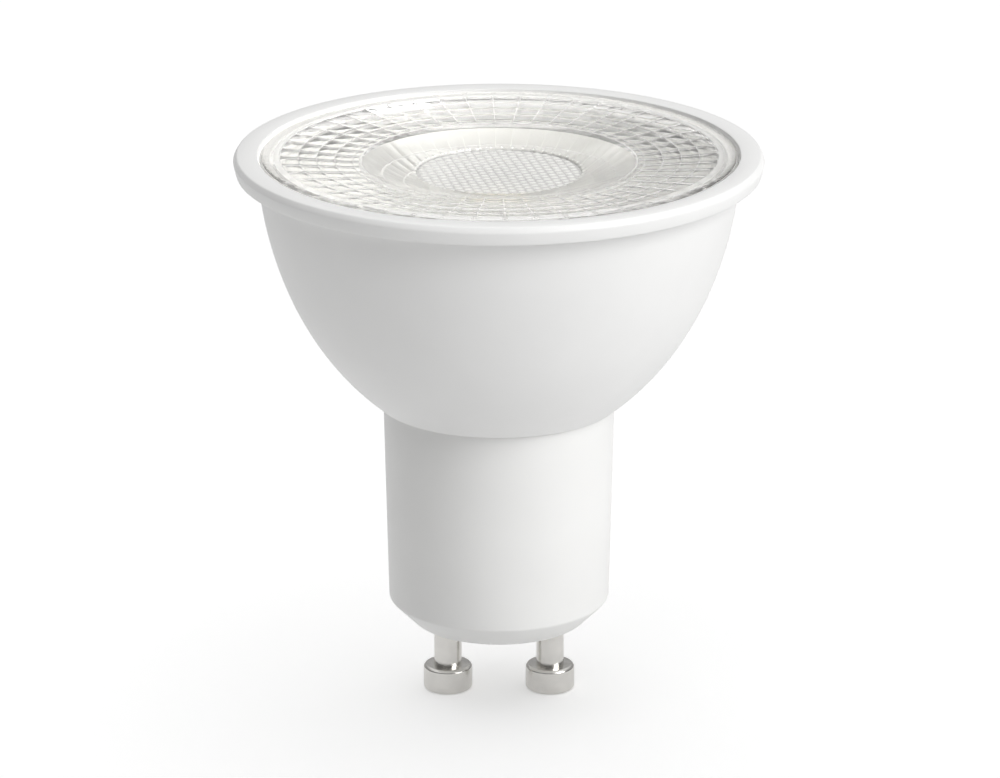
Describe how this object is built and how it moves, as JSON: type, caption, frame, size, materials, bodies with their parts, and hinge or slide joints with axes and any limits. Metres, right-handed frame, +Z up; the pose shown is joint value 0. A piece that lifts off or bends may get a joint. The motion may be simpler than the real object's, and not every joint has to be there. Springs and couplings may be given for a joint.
{
  "type": "gu10 spotlight bulb",
  "caption": "White LED spotlight bulb with a moulded cup, a clear faceted lens, a straight neck and a twist-and-lock cap with stepped pins.",
  "frame": {"origin": "midway between the undersides of the pins' feet, on the surface that the bulb stands on", "axes": "+Z up the bulb's axis from the pins to the lens, X through the axes of both pins"},
  "size_m": [0.0505, 0.0504, 0.0545],
  "materials": {
    "white_shell": "satin moulded white",
    "white_base": "satin moulded white",
    "nickel_pin": "satin nickel plating with turning marks",
    "clear_lens": "clear moulded acrylic, polished",
    "spun_aluminium": "drawn, bright",
    "grey_pad": "soft grey silicone",
    "white_board": "white solder mask",
    "led_package": "white frame round a yellow phosphor window",
    "screw_steel": "zinc plated",
    "green_board": "green solder mask",
    "black_sleeve": "black shrink sleeve with an aluminium top",
    "green_sleeve": "dark green shrink sleeve with an aluminium top",
    "ferrite": "grey-black sintered ferrite",
    "winding_tape": "yellow tape over copper wire",
    "resistor_coat": "matt green coating",
    "yellow_case": "moulded yellow case",
    "black_epoxy": "matt black moulding",
    "chip_glaze": "black glaze with tinned ends",
    "chip_ceramic": "tan ceramic with tinned ends",
    "white_insulation": "white insulation"
  },
  "bodies": {
    "root": {"lamp_cup": "white_shell", "neck_housing": "white_base", "contact_pin_left": "nickel_pin", "contact_pin_right": "nickel_pin", "lens": "clear_lens", "heat_spreader": "spun_aluminium", "thermal_pad": "grey_pad", "led_board": "white_board", "led_packages": "led_package", "board_screws": "screw_steel", "driver_cap": "white_base", "driver_board": "green_board", "bulk_capacitor": "black_sleeve", "output_capacitor": "green_sleeve", "transformer_core": "ferrite", "transformer_winding": "winding_tape", "fuse_resistor": "resistor_coat", "film_capacitor": "yellow_case", "bridge_rectifier": "black_epoxy", "driver_ic": "black_epoxy", "freewheel_diode": "black_epoxy", "chip_resistors": "chip_glaze", "chip_capacitors": "chip_ceramic", "pin_lead_left": "white_insulation", "pin_lead_right": "white_insulation", "led_lead_positive": "white_insulation", "led_lead_negative": "white_insulation"}
  },
  "joints": []
}
